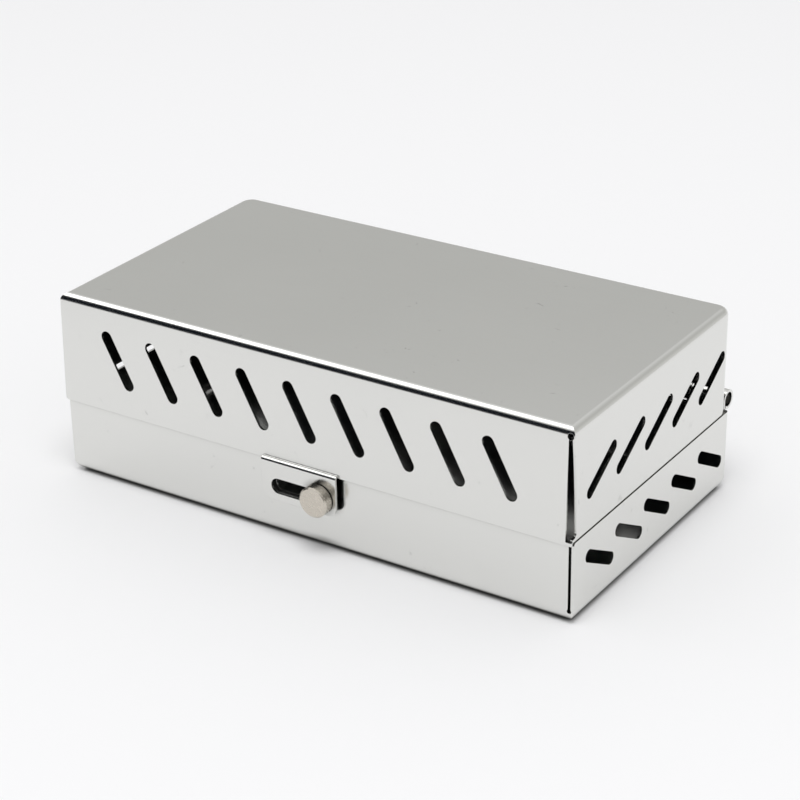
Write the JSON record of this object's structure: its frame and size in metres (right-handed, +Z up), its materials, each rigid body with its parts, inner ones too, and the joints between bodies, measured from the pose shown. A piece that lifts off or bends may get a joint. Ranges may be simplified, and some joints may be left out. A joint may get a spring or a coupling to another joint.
{
  "type": "instrument box",
  "caption": "Folded stainless steel box with a hinged lid, slanted vent slots and a sliding knob latch on a front tab.",
  "frame": {"origin": "middle of the tray's flat underside, on the surface that the box stands on", "axes": "+X along the length to the viewer's right at the front, +Y to the hinge at the rear, +Z up"},
  "size_m": [0.1803, 0.1084, 0.061],
  "materials": {
    "sheet_steel": "satin",
    "turned_steel": "turned",
    "pin_steel": "drawn"
  },
  "bodies": {
    "base": {"base_tray": "sheet_steel", "hinge_pin": "pin_steel"},
    "lid": {"lid_shell": "sheet_steel"},
    "latch": {"latch_knob": "turned_steel", "latch_spring_washer": "pin_steel", "latch_retaining_washer": "pin_steel"}
  },
  "joints": [
    {"name": "lid_hinge", "type": "hinge", "parent": "base", "child": "lid", "pos_m": [0, 0.0508, 0.0286], "axis": [-1, 0, 0], "range_deg": [0, 150]},
    {"name": "latch_slide", "type": "slide", "parent": "lid", "child": "latch", "axis": [-1, 0, 0], "range_m": [0, 0.0146]}
  ]
}
